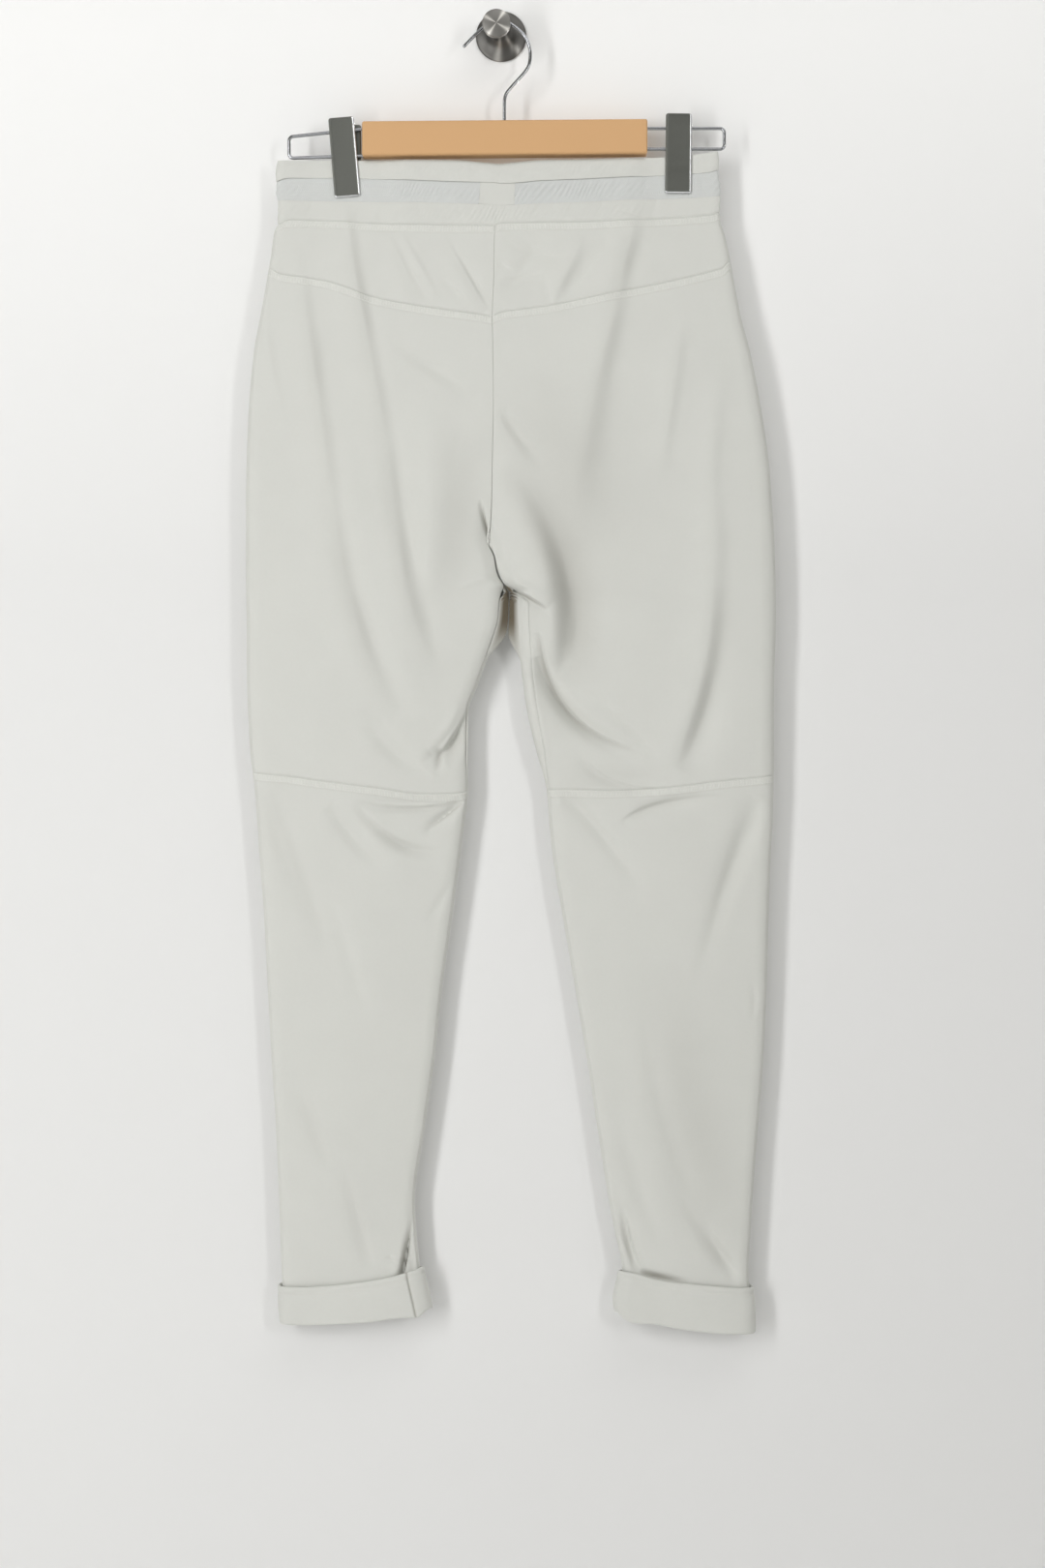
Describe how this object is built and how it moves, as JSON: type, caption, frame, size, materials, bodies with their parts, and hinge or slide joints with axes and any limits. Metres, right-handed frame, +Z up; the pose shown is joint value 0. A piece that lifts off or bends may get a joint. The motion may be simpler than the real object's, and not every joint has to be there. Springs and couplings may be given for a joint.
{
  "type": "sweatpants on a clip hanger and wall hook",
  "caption": "Off-white jersey sweatpants with a ribbed waistband and turned-up cuffs, hung by the waist from a wooden clip hanger on a round steel wall knob.",
  "frame": {"origin": "centre of the wall knob's back face, on the wall", "axes": "+Y into the wall, +Z up, +X to the viewer's right; the garment's back faces -Y"},
  "size_m": [0.4386, 0.0408, 1.1035],
  "materials": {
    "jersey": "off-white cotton jersey",
    "rib": "pale blue-grey stretch rib",
    "wood": "varnished, fine level grain",
    "chrome": "bright wire",
    "clip_steel": "dull face, bright edge",
    "brushed_steel": "turned and brushed"
  },
  "bodies": {
    "root": {"waist_top_left": "jersey", "waist_top_right": "jersey", "waist_rib_left": "rib", "waist_rib_right": "rib", "waist_low_left": "jersey", "waist_low_right": "jersey", "yoke_left": "jersey", "yoke_right": "jersey", "back_thigh_left": "jersey", "back_thigh_right": "jersey", "back_calf_left": "jersey", "back_calf_right": "jersey", "front_hip_left": "jersey", "front_hip_right": "jersey", "front_thigh_left": "jersey", "front_thigh_right": "jersey", "front_calf_left": "jersey", "front_calf_right": "jersey", "cuff_left": "jersey", "cuff_right": "jersey", "waist_back_piece": "jersey", "hanger_bar": "wood", "rail_left": "chrome", "rail_right": "chrome", "clip_face_left": "clip_steel", "clip_face_right": "clip_steel", "clip_jaw_left": "clip_steel", "clip_jaw_right": "clip_steel", "hook_wire": "chrome", "wall_knob": "brushed_steel"}
  },
  "joints": []
}
